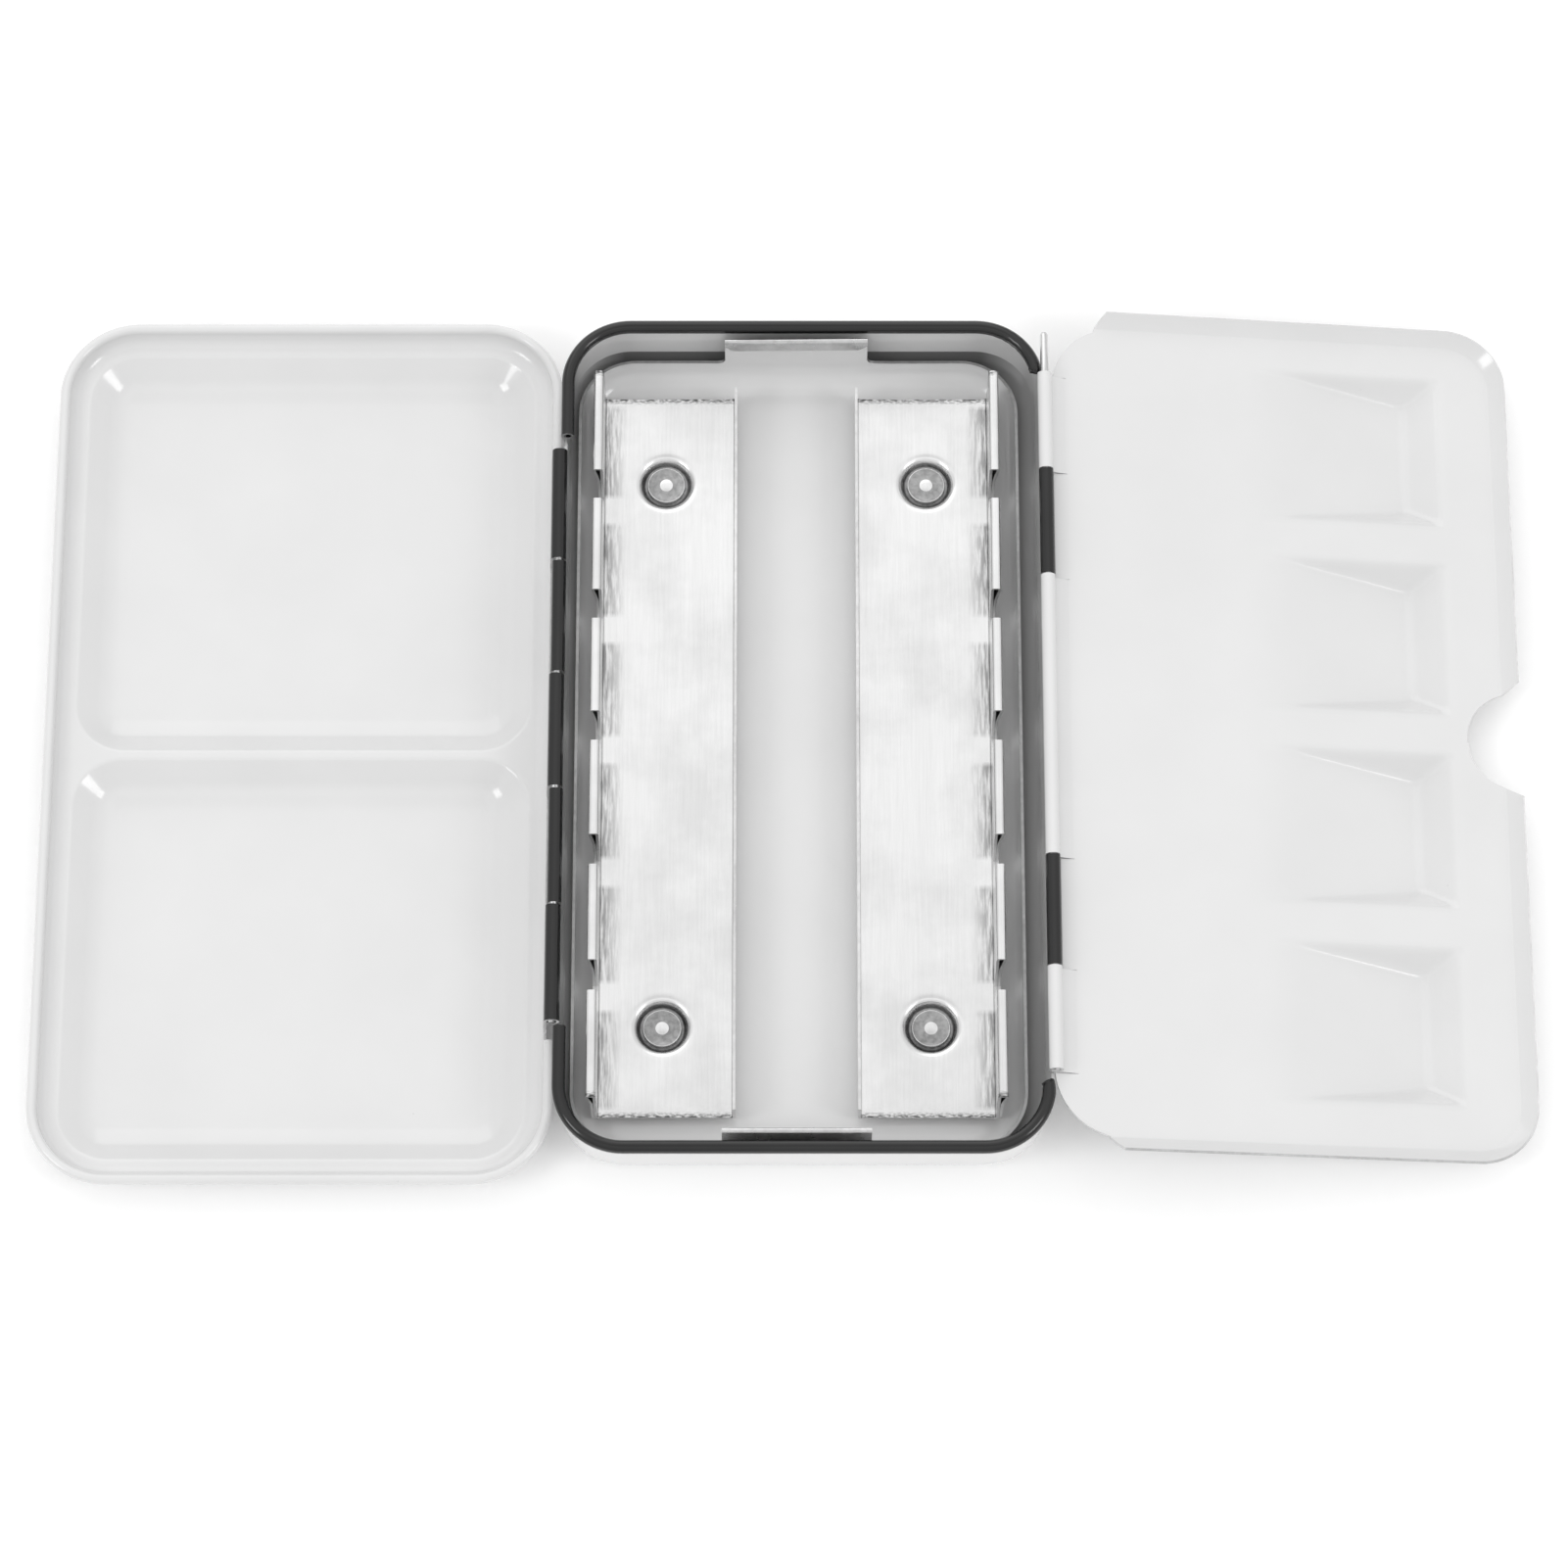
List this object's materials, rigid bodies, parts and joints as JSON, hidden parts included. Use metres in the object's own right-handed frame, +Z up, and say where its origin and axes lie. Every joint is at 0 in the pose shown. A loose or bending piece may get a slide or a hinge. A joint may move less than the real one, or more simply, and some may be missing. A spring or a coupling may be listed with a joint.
{
  "type": "folding watercolour palette tin",
  "caption": "Folding enamelled metal paint tin: a shallow base with clip-in holders for half pans, a hinged lid with mixing wells and a hinged mixing leaf with a thumb notch.",
  "frame": {"origin": "on the table under the middle of the base shell's rim outline", "axes": "+Z up, +X towards the mixing flap's hinge, +Y along the hinges towards the flap pin's long end"},
  "size_m": [0.2025, 0.1258, 0.0141],
  "materials": {
    "base_enamel": "glossy white enamel, with black enamel on the curled rim and the knuckles",
    "liner_enamel": "satin white enamel with raw trimmed edges",
    "tinplate": "bare tinplate, lightly brushed along its length",
    "rivet_steel": "bare tinplate button",
    "lid_enamel": "glossy white enamel",
    "flap_enamel": "glossy white enamel",
    "steel_wire": "drawn steel wire"
  },
  "bodies": {
    "base": {"base_shell": "base_enamel", "liner_pan": "liner_enamel", "pan_tray_left": "tinplate", "pan_tray_right": "tinplate", "tray_rivet_left_near": "rivet_steel", "tray_rivet_left_far": "rivet_steel", "tray_rivet_right_near": "rivet_steel", "tray_rivet_right_far": "rivet_steel", "lid_hinge_pin": "steel_wire", "flap_hinge_pin": "steel_wire"},
    "lid": {"lid": "lid_enamel"},
    "mixing_flap": {"mixing_flap": "flap_enamel"}
  },
  "joints": [
    {"name": "lid_hinge", "type": "hinge", "parent": "base", "child": "lid", "pos_m": [-0.0337, 0, 0.0099], "axis": [0, 1, 0], "range_deg": [0, 180]},
    {"name": "flap_hinge", "type": "hinge", "parent": "base", "child": "mixing_flap", "pos_m": [0.0335, 0, 0.0131], "axis": [0, -1, 0], "range_deg": [0, 187.6]}
  ]
}
